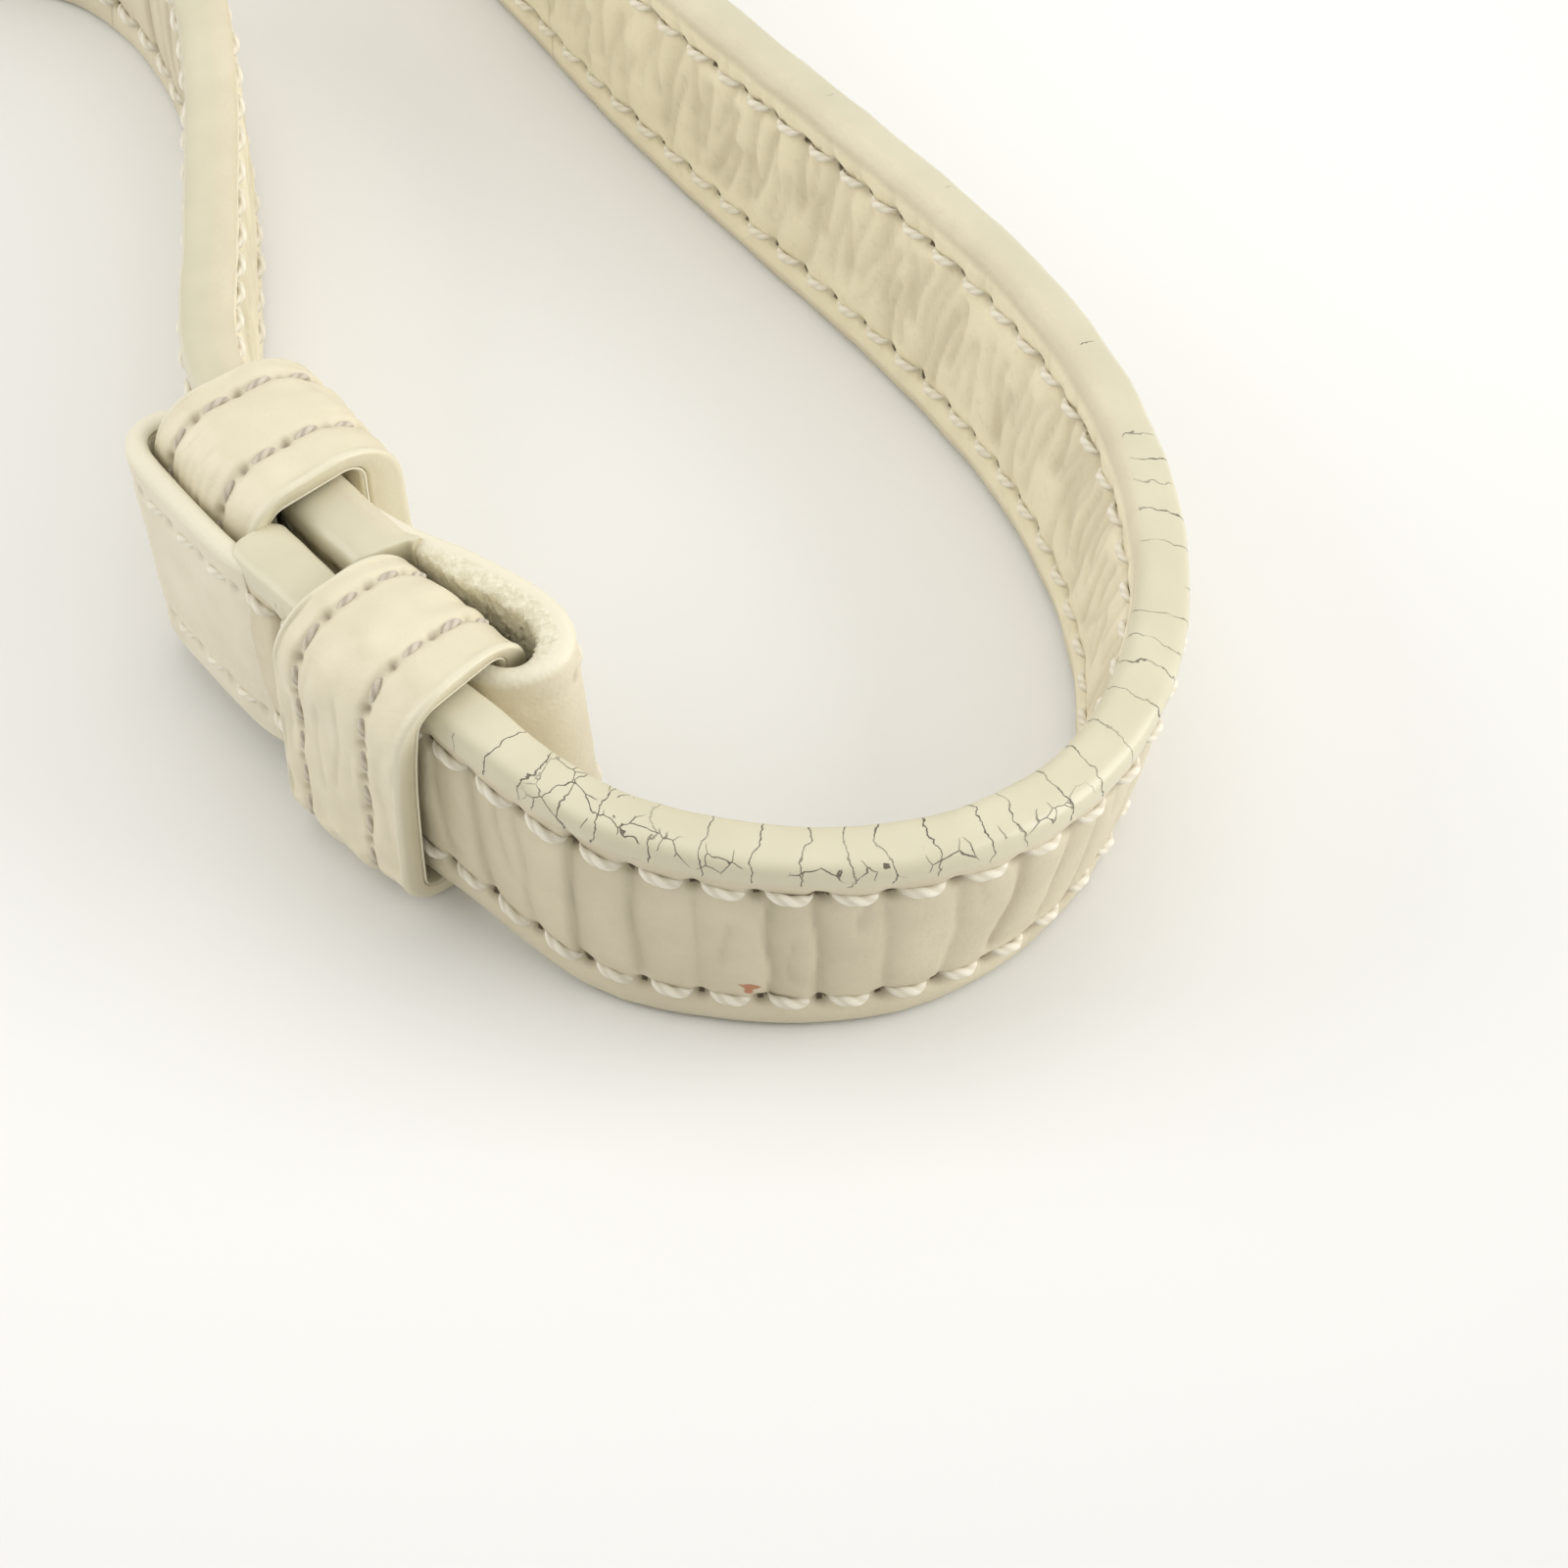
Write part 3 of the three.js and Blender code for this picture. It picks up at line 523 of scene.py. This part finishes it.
def strap_body(name, u):
    """The strap over the places u: outline (n, w) carried along the route, with padding between the rows,
    a groove and needle holes along each row, creases, and soft unevenness. Each strand swells towards the
    other between the keepers, the lower end is rounded over its first 0.9 mm, and the sliding end thins
    towards its inner face beside the lower keeper's slanting rim."""
    side, n, w = strap_section()
    o, a, b, t = route(u)
    flat = 2.30 + 0.30 * np.clip(1 - (w / 6.4) ** 2, 0, 1) ** 0.7
    from_row = np.abs(w) - STITCH_OFF
    row = np.exp(-(from_row / 0.55) ** 2) * ROW_DEPTH
    nearest = HOLES[np.clip(np.round((u - HOLES[0]) / STITCH_PITCH).astype(int), 0, len(HOLES) - 1)]
    along = np.exp(-((u - nearest) / 0.48) ** 2)[:, None]
    hole = along * np.exp(-(from_row / 0.5) ** 2) * HOLE_DEPTH
    pull = np.exp(-((u - nearest) / 1.1) ** 2)[:, None] * np.exp(-(from_row / 1.3) ** 2) * PULL_DEPTH
    on_face = np.abs(side)
    crease = np.zeros((len(u), len(w)))
    for k in (1, -1):
        pick = side == k
        crease[:, pick] = crease_depth(u, w[pick], CREASES[k])
    crease *= on_face
    broad = waves(u[:, None], w[None] + 40 * side, 9, 3) * 0.07
    soft = broad + waves(u[:, None], w[None] + 30 * side, 3.2, 4) * 0.025
    ridge = 0.07 * np.exp(-((np.abs(w) - 9.0) / 0.35) ** 2)
    depth = (row + hole + pull) * on_face + crease
    thick = (flat + ridge)[None] + soft - depth
    edge_wave = waves(u[:, None], n[None] * 3, 6, 8) * 0.06 * (1 - on_face)
    swell_main = SWELL_MAIN * (1 - ease((u - 6) / 8))[:, None]
    swell_side = SWELL_SIDE * ease((u - route.length + RUN_ON + 12) / 6)[:, None]
    swell = np.where(n < 0, swell_main, swell_side)
    across = (thick + swell) * n
    start = np.sqrt(np.clip(1 - (1 - (u - 0.3) / 0.9) ** 2, 0, 1))[:, None] ** (u < 1.2)[:, None]
    across = across * (0.72 + 0.28 * start)
    rim = LOWER_MID - KEEPER_LENGTH / 2 + LOWER_SKEW * w[None]
    thin = THIN_SHARE * ease((u[:, None] - route.length + LOWER_START - 0.3 + RUN_ON - rim + 1.7) / RIM_RISE)
    across = across - (across + T) * thin
    pts = o[:, None] + a[:, None] * across[..., None] + b[:, None] * (w + np.sign(w) * edge_wave)[..., None]
    rows, cols = len(u), len(w)
    s = (u - route.arc_b + ARC_END_B)[:, None]
    reach_in = np.interp(s, [100, 135], [-1.1, -0.35])
    paint = np.where(w > FACE_HALF, ease((n - reach_in) / 0.25), ease((np.abs(w) - 10.4) / 0.3))
    paint = np.where((n > 0) & (w > 0), ease((w - 8.75) / 0.5), paint)
    # painted shade mask: needle holes, creases and row grooves, darkened in the strap's colour
    recess_shade = np.clip((hole * 1.5 + np.minimum(crease * 0.75, 0.40) + row * 0.2) / 0.6, 0, 1)
    strain = np.interp(s, [30, 38, 44, 62, 78, 95, 110, 150, 240, 700],
                       [0.2, 0.5, 0.95, 0.85, 0.75, 0.62, 0.45, 0.25, 0.10, 0.10]) * (w > 0)
    shoulder = np.exp(-((w - 10.4) / 1.1) ** 2) * (n > 0.1)
    chip = np.exp(-((s - CHIP_S) / 0.34) ** 2 - ((w - CHIP_W) / 0.13) ** 2) * (n > 0.3)
    first = np.exp(-((s - 46.5) / 5.0) ** 2) * (w > 8.5)
    net = np.clip(first + shoulder * np.interp(s, [44, 56, 80, 92], [0, 0.70, 0.70, 0]), 0, 1)
    du, dw = s - SCUFF_S, w - SCUFF_W
    patchy = waves(du, dw, 1.1, 21) * 0.25
    bar = np.hypot(du / 1.3, (dw - 0.3) / 0.46)
    drop = np.hypot((du + 0.2) / 0.5, (dw + 0.25) / 0.9)
    scuff = np.clip(1.2 - np.minimum(bar, drop) + patchy, 0, 1) * (side > 0)
    lap = np.concatenate([[0], np.cumsum(np.hypot(np.diff(n * 2.4), np.diff(w)))])
    uv = np.stack(np.broadcast_arrays(u[:, None], lap[None]), -1)
    caps = [np.arange(cols)[::-1], np.arange(cols) + (rows - 1) * cols]
    inside = np.broadcast_to((side < 0) * 1.0, (rows, cols))
    marks = {"paint": paint, "recess_shade": recess_shade, "strain": strain, "chip": chip, "net": net, "scuff": scuff,
             "inside": inside}
    return piece(name, pts, quad_grid(rows, cols), STRAP, marks, uv, caps)


def stitches(name, base, holes, w0, side, frame_at, out_at, material, around=10, along=14, radius=0.50,
             pitch=STITCH_PITCH, rise=0.24):
    """One closed two-ply stitch from each hole to the next: centre line dips into both holes as sin(pi
    t)^0.45, radius r(1 + 0.10 cos 2(angle - twist t)), slanting a little across the row."""
    tt = np.linspace(0, 1, along)
    ang = np.linspace(0, 2 * math.pi, around, endpoint=False)
    u = holes[:, None] + (0.12 + 0.74 * tt)[None] * pitch
    lift = -0.55 + (0.55 + rise) * np.clip(np.sin(math.pi * tt), 0, 1) ** 0.45
    slant = 0.24 * (1 - 2 * tt)
    jitter = np.random.default_rng(base).normal(0, 0.05, (len(holes), 1))
    o, a, b, t = frame_at(u)
    lobe = 2 * (ang[None] - 2 * math.pi * 1.15 * tt[:, None])
    taper = np.clip(np.sin(math.pi * (0.04 + 0.92 * tt)), 0, 1) ** 0.35
    r = radius * (1 + 0.10 * np.cos(lobe)) * taper[:, None]
    centre = o + a * (side * (out_at + lift + jitter))[..., None] + b * (w0 + slant + jitter)[..., None]
    pts = centre[:, :, None] + a[:, :, None] * (np.sin(ang)[None] * r * side * 0.85)[None, ..., None]
    pts = pts + b[:, :, None] * (np.cos(ang)[None] * r)[None, ..., None]
    n, rows = len(holes), along
    one = quad_grid(rows, around)
    faces = (one[None] + (np.arange(n) * rows * around)[:, None, None]).reshape(-1, 4)
    caps = [np.arange(around)[::-1] + k * rows * around for k in range(n)]
    caps += [np.arange(around) + (k * rows + rows - 1) * around for k in range(n)]
    ply = np.broadcast_to((0.5 + 0.5 * np.cos(lobe))[None], (n, rows, around))
    uv = np.stack(np.broadcast_arrays(u[:, :, None] / 4, (ang / 6.283)[None, None]), -1)
    return piece(name, pts, faces, material, {"ply": ply}, uv, caps)


flex_end = route.len_ring - FLEX_NEAR
flex_start = flex_end - FLEX_LENGTH
u_main = np.concatenate([np.arange(0.3, 1.2, 0.1), np.arange(1.2, 110, 0.3), np.arange(110, FAR_FROM, 0.42),
                         [FAR_FROM]])
u_far = np.concatenate([np.arange(FAR_FROM, flex_start - 0.3, 0.52), [flex_start]])
u_side = np.concatenate([np.arange(flex_start, route.length - 7, 0.45),
                         np.arange(route.length - 7, route.length - 0.1, 0.2), [route.length]])
strap_main = strap_body("strap_main", u_main)
strap_far = strap_body("strap_far", u_far)
strap_side = strap_body("strap_side", u_side)
for part in (strap_main, strap_far):
    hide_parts("outer_leather_main", "inner_leather_main", "filler_main", "top_edge_coat_main",
                "bottom_edge_coat_main")
    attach(part, "strap")
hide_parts("outer_leather_flex", "inner_leather_flex", "filler_flex", "top_edge_coat_flex",
            "bottom_edge_coat_flex",
            "outer_leather_sliding", "inner_leather_sliding", "filler_sliding", "top_edge_coat_sliding",
            "bottom_edge_coat_sliding")
BLEND_FROM = tuple(route(np.array([flex_start + 6]))[0][0] * MM)
BLEND_TO = tuple(route(np.array([route.len_ring - 0.5]))[0][0] * MM)
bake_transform(strap_side)

count = 0
for side, face in ((1, "outer"), (-1, "inner")):
    for w0, row in ((STITCH_OFF, "upper"), (-STITCH_OFF, "lower")):
        for suffix, lo, hi in (("main", 0.9, flex_start),
                               ("side", flex_start, route.length - STITCH_PITCH - 3)):
            holes = HOLES[(HOLES >= lo) & (HOLES < hi)]
            count += 1
            t = stitches(f"{face}_stitches_{row}_{suffix}", 100 + count, holes, w0, side, route, 2.18,
                         THREAD, radius=0.47 + 0.04 * side)
            if suffix == "main":
                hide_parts(f"{face}_thread_{row}_main")
                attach(t, "strap")
            else:
                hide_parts(f"{face}_thread_{row}_flex", f"{face}_thread_{row}_sliding")
                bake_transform(t)

# ---------------------------------------------------------------- tails
TAIL_THICK, TAIL_WIDTH = 1.9, 21.2
FACE_V = STRAND_OFF + T
LEG_V = FACE_V + 0.2 - TAIL_THICK / 2
BACK_V = 0.3 + TAIL_THICK / 2 - (STRAND_OFF - T)


def rounded_path(points, step=0.3, sigma=0.9):
    """A path through corner points, rounded by averaging along its length; returns s, v and the unit
    tangent."""
    p = np.array(points, float)
    d = np.concatenate([[0], np.cumsum(np.hypot(*np.diff(p, axis=0).T))])
    q = np.arange(0, d[-1], step)
    s, v = (blurred(np.interp(q, d, p[:, k]), sigma / step) for k in (0, 1))
    ts, tv = np.gradient(s), np.gradient(v)
    norm = np.hypot(ts, tv)
    return s, v, ts / norm, tv / norm


def tail(name, points, body, nodes, side, thread_rows, seed, fluff=(0, 0)):
    """A thin strap end: a rounded oblong carried along a path on the sliding arc and turned to follow it.
    One face's half thickness is skived to a tenth over the last 8 mm, and on the other the raw flesh
    stands open by up to 1.05 mm between the two lengths in fluff."""
    s, v, ts, tv = rounded_path(points)
    o, a, b, t = on_arc(s, v)
    out = t * (-tv)[:, None] + a * ts[:, None]
    half, w1, corner = TAIL_THICK / 2, TAIL_WIDTH / 2, 0.8
    turn = np.linspace(0, math.pi, 11)
    w_face = np.linspace(-w1 + corner, w1 - corner, 37)
    n = np.concatenate([np.full(37, half), half * np.cos(turn[1:-1]), np.full(37, -half),
                        -half * np.cos(turn[1:-1])])
    w_cap = w1 - corner + corner * np.sin(turn[1:-1])
    w = np.concatenate([w_face, w_cap, w_face[::-1], -w_cap])
    face = (np.abs(np.abs(n) - half) < 1e-6).astype(float)
    length = np.arange(len(s)) * 0.3
    holes = 1.6 + STITCH_PITCH * np.arange(thread_rows)
    row = np.exp(-((np.abs(w) - STITCH_OFF) / 0.5) ** 2)[None] * face * (n * side < 0)
    shown = ((length > 0) & (length < holes[-1] + STITCH_PITCH))[:, None]
    near = holes[np.clip(np.round((length - holes[0]) / STITCH_PITCH).astype(int), 0, len(holes) - 1)]
    hole = np.exp(-((length - near) / 0.42) ** 2)[:, None] * row * 0.3
    soft = waves(length[:, None], w[None] + 20 * np.sign(n), 6, seed) * 0.05
    opening = (length > fluff[0]) * ease((length - fluff[0]) / 6) * ease((fluff[1] - length) / 4)
    open_flesh = opening[:, None] * (n * side > 0) * np.minimum(1, np.abs(n) / half)
    open_flesh = open_flesh * (1 + waves(length[:, None] * 3, w[None] * 3, 2.4, seed + 2) * 0.25)
    skive = 0.9 * ease((length - length[-1] + 8) / 8)[:, None] * (n * side < 0)
    uneven = soft * face - (row * 0.12 + hole) * shown
    thick = np.sign(n) * (np.abs(n) * (1 - skive) + uneven * (1 - skive) + 1.05 * open_flesh)
    pts = o[:, None] + out[:, None] * thick[..., None] + b[:, None] * w[None, :, None]
    rows, cols = len(s), len(w)
    raw = np.clip(face * (n * side > 0) + open_flesh * 3, 0, 1)
    paint = ease((np.abs(w) - (w1 - 1.1)) / 0.5) * (1 - np.clip(open_flesh * 3, 0, 1))
    # painted shade mask: the stitch holes
    recess_shade = np.clip(hole * 2.5, 0, 1) * shown
    obj = piece(name, pts, quad_grid(rows, cols), TAIL, {"raw": raw, "paint": paint, "recess_shade": recess_shade}, None,
                [np.arange(cols)[::-1], np.arange(cols) + (rows - 1) * cols])
    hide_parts(*nodes)
    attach(obj, body)

    def leg(u):
        base, aa, bb, tt = on_arc(np.interp(u, length, s), np.interp(u, length, v))
        k1, k2 = np.interp(u, length, ts)[..., None], np.interp(u, length, tv)[..., None]
        return base, aa * k1 - tt * k2, bb, tt
    for w0, which in ((STITCH_OFF, "upper"), (-STITCH_OFF, "lower")):
        th = stitches(f"{name}_stitches_{which}", seed + 7, holes[:-1], w0, -side, leg, half - 0.28, THREAD,
                      radius=0.40, rise=0.25)
        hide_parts(nodes[0].replace("tail_leather", f"tail_thread_{which}"))
        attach(th, body)
    return obj


turn_s = UPPER_MID - KEEPER_LENGTH / 2 - 0.2
r_b = (LEG_V - BACK_V) / 2
half_circle = [(turn_s - r_b * math.sin(k), (LEG_V + BACK_V) / 2 + r_b * math.cos(k))
               for k in np.linspace(0.2, math.pi - 0.2, 9)]
main_path = [(UPPER_END + 2.6, LEG_V - 0.5), (UPPER_END + 0.8, LEG_V - 0.05), (UPPER_END - 1, LEG_V),
             (turn_s, LEG_V),
             *half_circle, (turn_s, BACK_V), (UPPER_END - 1, BACK_V)]
tail("tail_main", main_path, "strap", ("tail_leather_main", "tail_lining_main"), 1, 4, 31)
sliding_path = [(LOWER_START - 3, -LEG_V + 0.5), (LOWER_START, -LEG_V), (LOWER_START + 3, -LEG_V - 0.7),
                (LOWER_START + 6, -LEG_V - 1.7), (26, -7.9), (30, -8.3), (33.2, -7.9), (35.5, -6.5),
                (36.3, -4.8),
                (35.9, -2.9), (34.8, -1.2), (33.2, -BACK_V), (30, -BACK_V), (22, -BACK_V), (19.5, -BACK_V)]
tail("tail_sliding", sliding_path, "sliding_end", ("tail_leather_sliding", "tail_lining_sliding"), 1, 6, 37,
     fluff=(5, 29))


# ---------------------------------------------------------------- keepers
def oblong(v0, v1, half_w, front, back, counts=(56, 22, 50, 22)):
    """Points round a rounded rectangle with its own corner radii in front (high v) and behind, with
    outward normals. Every loop made with the same counts matches the others point for point."""
    parts = []
    corners = [(v1, 1, front, 0), (v0, 1, back, 90), (v0, -1, back, 180), (v1, -1, front, 270)]
    for i, (edge, up, r, turn) in enumerate(corners):
        edge0, up0, r0, _ = corners[i - 1]
        ang = math.radians(turn)
        c1 = (edge - r * (1 if edge == v1 else -1), up * (half_w - r))
        c0 = (edge0 - r0 * (1 if edge0 == v1 else -1), up0 * (half_w - r0))
        n = np.array([math.cos(ang), math.sin(ang)])
        k = np.linspace(0, 1, counts[2 * (i % 2)], endpoint=False)[:, None]
        p0, p1 = np.array(c0) + n * r0, np.array(c1) + n * r
        parts.append(np.hstack([p0 + (p1 - p0) * k, np.broadcast_to(n, (len(k), 2))]))
        a = ang + np.linspace(0, math.pi / 2, counts[1], endpoint=False)[:, None]
        m = np.hstack([np.cos(a), np.sin(a)])
        parts.append(np.hstack([np.array(c1) + m * r, m]))
    p = np.vstack(parts)
    gone = np.hypot(*(np.roll(p[:, :2], -1, 0) - p[:, :2]).T)
    return p[:, 0], p[:, 1], p[:, 2], p[:, 3], np.concatenate([[0], np.cumsum(gone)[:-1]]), gone.sum()


# the folds in a keeper's skin: place across it, depth, and from where to where round it
KEEPER_FOLDS = ((-1.2, 0.2, 4, 17), (0.9, 0.24, 6, 19), (2.1, 0.14, 8, 14), (-2.4, 0.12, 10, 20),
                (5.2, 0.16, 3, 18), (-5.0, 0.14, 5, 15), (0.2, 0.16, 40, 54), (-1.9, 0.14, 42, 52))


def keeper(name, mid, skew, low, high, back, body, seed):
    """A sewn leather sleeve: a rounded rectangle round the strands, swept between two rims. Outer leather
    and lining are two closed shells; the leather's skin is padded between its stitch rows and sinks along
    them. back is the wall's thickness where the sleeve's two ends are joined; the right rim flares by 0.8
    + 0.9 (w / 12)^2, 0.28 in place of 0.9 below the middle, and its mouth opens by a tenth of the
    wall."""
    wall, rim = 2.6, 2.2
    v, w, nv, nw, q, lap = oblong(low - back, high + wall, H + 0.3 + rim, KEEPER_ROUND, KEEPER_ROUND + 1.6)
    iv, iw = oblong(low, high, H + 0.3, 1.0, 1.0)[:2]
    pitch = lap / round(lap / 4.2)
    half = KEEPER_LENGTH / 2

    def shell(label, depth0, depth1, r0, material, outer):
        # profile across the wall: outside, right rim, inside, left rim
        turn = np.linspace(0, math.pi / 2, 7)
        across = np.linspace(-half + r0, half - r0, 66 if outer else 20)
        inner_r = 0.3
        x = np.concatenate([across, half - r0 + r0 * np.sin(turn[1:]),
                            half - inner_r + inner_r * np.cos(turn[1:]),
                            np.linspace(half - inner_r, -half + inner_r, 12)[1:-1],
                            -half + inner_r - inner_r * np.sin(turn), -half + r0 - r0 * np.cos(turn)[:-1]])
        d = np.concatenate([0 * across + depth0, depth0 + r0 - r0 * np.cos(turn[1:]),
                            depth1 - inner_r + inner_r * np.sin(turn[1:]), np.full(10, depth1),
                            depth1 - inner_r + inner_r * np.cos(turn), depth0 + r0 - r0 * np.sin(turn)[:-1]])
        skin = np.concatenate([np.ones(len(across)), np.zeros(len(x) - len(across))])[:, None]
        xx, qq = x[:, None], q[None]
        front = np.clip(np.abs(nv), 0, 1)[None]
        rows_at = np.minimum(np.abs(xx - KEEPER_STITCH), np.abs(xx + KEEPER_STITCH))
        groove = np.exp(-(rows_at / 0.42) ** 2)
        hole = groove * np.exp(-((((qq / pitch) % 1) - 0.5) * pitch / 0.4) ** 2)
        pad = 0.22 * np.clip(1 - (xx / KEEPER_STITCH) ** 2, 0, 1) - 0.16 * ease((np.abs(xx) - 4.6) / 1.9)
        wr = waves(xx * 3.2, qq * 0.42, 5.5, seed) * 0.10 * front + waves(xx, qq, 5, seed + 1) * 0.12
        fold = sum(dep * np.exp(-np.abs(xx - c - 0.25 * np.sin(qq * 0.5 + c)) / 0.3)
                   * ease((qq - lo) / 2) * ease((hi - qq) / 2)
                   for c, dep, lo, hi in KEEPER_FOLDS)
        out = (pad + wr - groove * 0.30 - hole * 0.45 - fold * 0.75) * skin if outer else 0 * xx * qq
        deep = d[:, None] / wall * (1 - 0.1 * ease((xx - 3.2) / 2.6))
        vv, ww = v + (iv - v) * deep + nv * out, w + (iw - w) * deep + nw * out
        flare = ease((xx - 4.2) / 2.3) * (0.8 + np.where(ww > 0, 0.9, 0.28) * (ww / 12) ** 2)
        o, a, b, t = on_arc(mid + xx + flare + skew * ww, vv)
        pts = o + b * ww[..., None]
        wall_at = (d - depth0) / (depth1 - depth0)
        if outer:
            rims = (1 - skin) * ease(1.6 * (1 - wall_at))[:, None]
        else:
            rims = (np.abs(x) > half - r0)[:, None] * 1.0
        paint = np.broadcast_to(rims, vv.shape)
        # painted shade mask: stitch holes, groove and folds of the outer skin
        recess_shade = np.clip((hole * 0.9 + groove * 0.22 + fold * 0.9) * skin, 0, 1) if outer else 0 * vv
        obj = piece(label, pts, quad_grid(len(x), len(q), closed_rows=True), material,
                    {"paint": paint, "recess_shade": np.broadcast_to(recess_shade, vv.shape),
                     "raw": np.full(vv.shape, 0.35)})
        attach(obj, body)
        return obj

    leather = shell(f"{name}_band", 0.0, 2.2, 0.55, KEEPER, True)
    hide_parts(f"{name}_leather")
    lining = shell(f"{name}_inside", 2.22, 2.6, 0.19, TAIL, False)
    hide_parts(f"{name}_lining")

    for sign, which in ((-1, "left"), (1, "right")):
        def seam(u):
            k = np.asarray(u) % lap
            vv, ww, n1, n2 = (np.interp(k, np.append(q, lap), np.append(f, f[0])) for f in (v, w, nv, nw))
            norm = np.hypot(n1, n2)
            n1, n2 = n1 / norm, n2 / norm
            o, a, b, t = on_arc(mid + sign * KEEPER_STITCH + skew * ww, vv)
            o = o + b * ww[..., None]
            return o, a * n1[..., None] + b * n2[..., None], t, a
        holes = (np.arange(int(round(lap / pitch))) + 0.5) * pitch
        th = stitches(f"{name}_stitches_{which}", seed + sign, holes, 0.0, 1, seam, -0.30, KEEPER_THREAD,
                      radius=0.36, pitch=pitch, rise=0.12)
        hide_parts(f"{name}_thread_{which}")
        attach(th, body)


keeper("upper_keeper", UPPER_MID - 0.8, 0.0, -FACE_V - 0.3, BACK_V + TAIL_THICK / 2 + 0.3, 4.6, "strap", 61)
keeper("lower_keeper", LOWER_MID, LOWER_SKEW, -BACK_V - TAIL_THICK / 2 - 0.3, FACE_V + 0.38, 3.4,
       "sliding_end", 71)

# ---------------------------------------------------------------- stage, light, camera
floor_finish = Finish("floor_card", roughness=0.9, specular=0.2)
floor_at = floor_finish.place()
# painted light: the floor card is lighter within 6 cm of a point by the strap and darker from 26 cm out, a
# pool of light painted round the strap, with a little noise in it
light_pool_distance = floor_finish.node("ShaderNodeVectorMath", {"operation": "DISTANCE"},
                                [floor_at, (0.03, -0.02, 0.0)],
                                out="Value")
away = light_pool_distance.rise(0.06, 0.26)
uneven = (away + floor_finish.noise(floor_at, 6, 3.0) * 0.1).clamp()
floor_finish.set(Base_Color=floor_finish.mix(uneven, (0.845, 0.841, 0.827), (0.700, 0.696, 0.682)))
FLOOR = 4000.0
corners = np.array([[-FLOOR, -FLOOR, 0], [FLOOR, -FLOOR, 0], [FLOOR, FLOOR, 0], [-FLOOR, FLOOR, 0]])
floor = piece("floor_card", corners, np.array([[0, 1, 2, 3]]), floor_finish.material)


def soft_light(name, place, target, size, power, colour):
    """A square soft light at a place, turned to face a target."""
    lamp = bpy.data.lights.new(name, "AREA")
    lamp.shape, lamp.size, lamp.energy, lamp.color = "SQUARE", size, power, colour
    obj = bpy.data.objects.new(name, lamp)
    z = np.array(place, float) - np.array(target, float)
    z /= np.linalg.norm(z)
    x = np.cross([0, 1, 0.01], z)
    x /= np.linalg.norm(x)
    y = np.cross(z, x)
    m = np.eye(4)
    m[:3, 0], m[:3, 1], m[:3, 2], m[:3, 3] = x, y, z, place
    obj.matrix_world = Matrix(m.tolist())
    bpy.context.scene.collection.objects.link(obj)
    return obj


CENTRE = (0.0736, -0.1012, 0.0)   # the floor point that the camera looks at
soft_light("top_box", (0.13, 0.05, 1.1), CENTRE, 1.8, 3.9, (1.0, 0.985, 0.97))
soft_light("loop_light", (0.055, 0.0, 0.62), (0.055, -0.02, 0.0), 0.40, 0.45, (1.0, 0.99, 0.97))
soft_light("right_box", (0.95, -0.18, 0.42), CENTRE, 0.8, 6.8, (1.0, 0.99, 0.98))
soft_light("left_box", (-0.90, 0.0, 0.50), CENTRE, 0.8, 4.4, (1.0, 0.985, 0.97))
world = bpy.data.worlds.new("studio")
bpy.context.scene.world = world
world.use_nodes = True
world.node_tree.nodes["Background"].inputs[0].default_value = (1.0, 0.99, 0.965, 1)
world.node_tree.nodes["Background"].inputs[1].default_value = 0.59

TILT, FOCAL, DISTANCE = 45.11, 5159.6, 0.41017   # degrees, 1600ths of the image's width, metres
SENSOR, IMAGE_WIDTH = 36.0, 1600
camera = bpy.data.cameras.new("camera")
camera.sensor_width, camera.lens, camera.clip_start = SENSOR, FOCAL / IMAGE_WIDTH * SENSOR, 0.01
eye = bpy.data.objects.new("camera", camera)
tilt = math.radians(TILT)
eye.location = (CENTRE[0], CENTRE[1] - DISTANCE * math.cos(tilt), DISTANCE * math.sin(tilt))
eye.rotation_euler = (math.pi / 2 - tilt, 0, 0)
bpy.context.scene.collection.objects.link(eye)
bpy.context.scene.camera = eye
bpy.context.scene.view_settings.view_transform = "Standard"
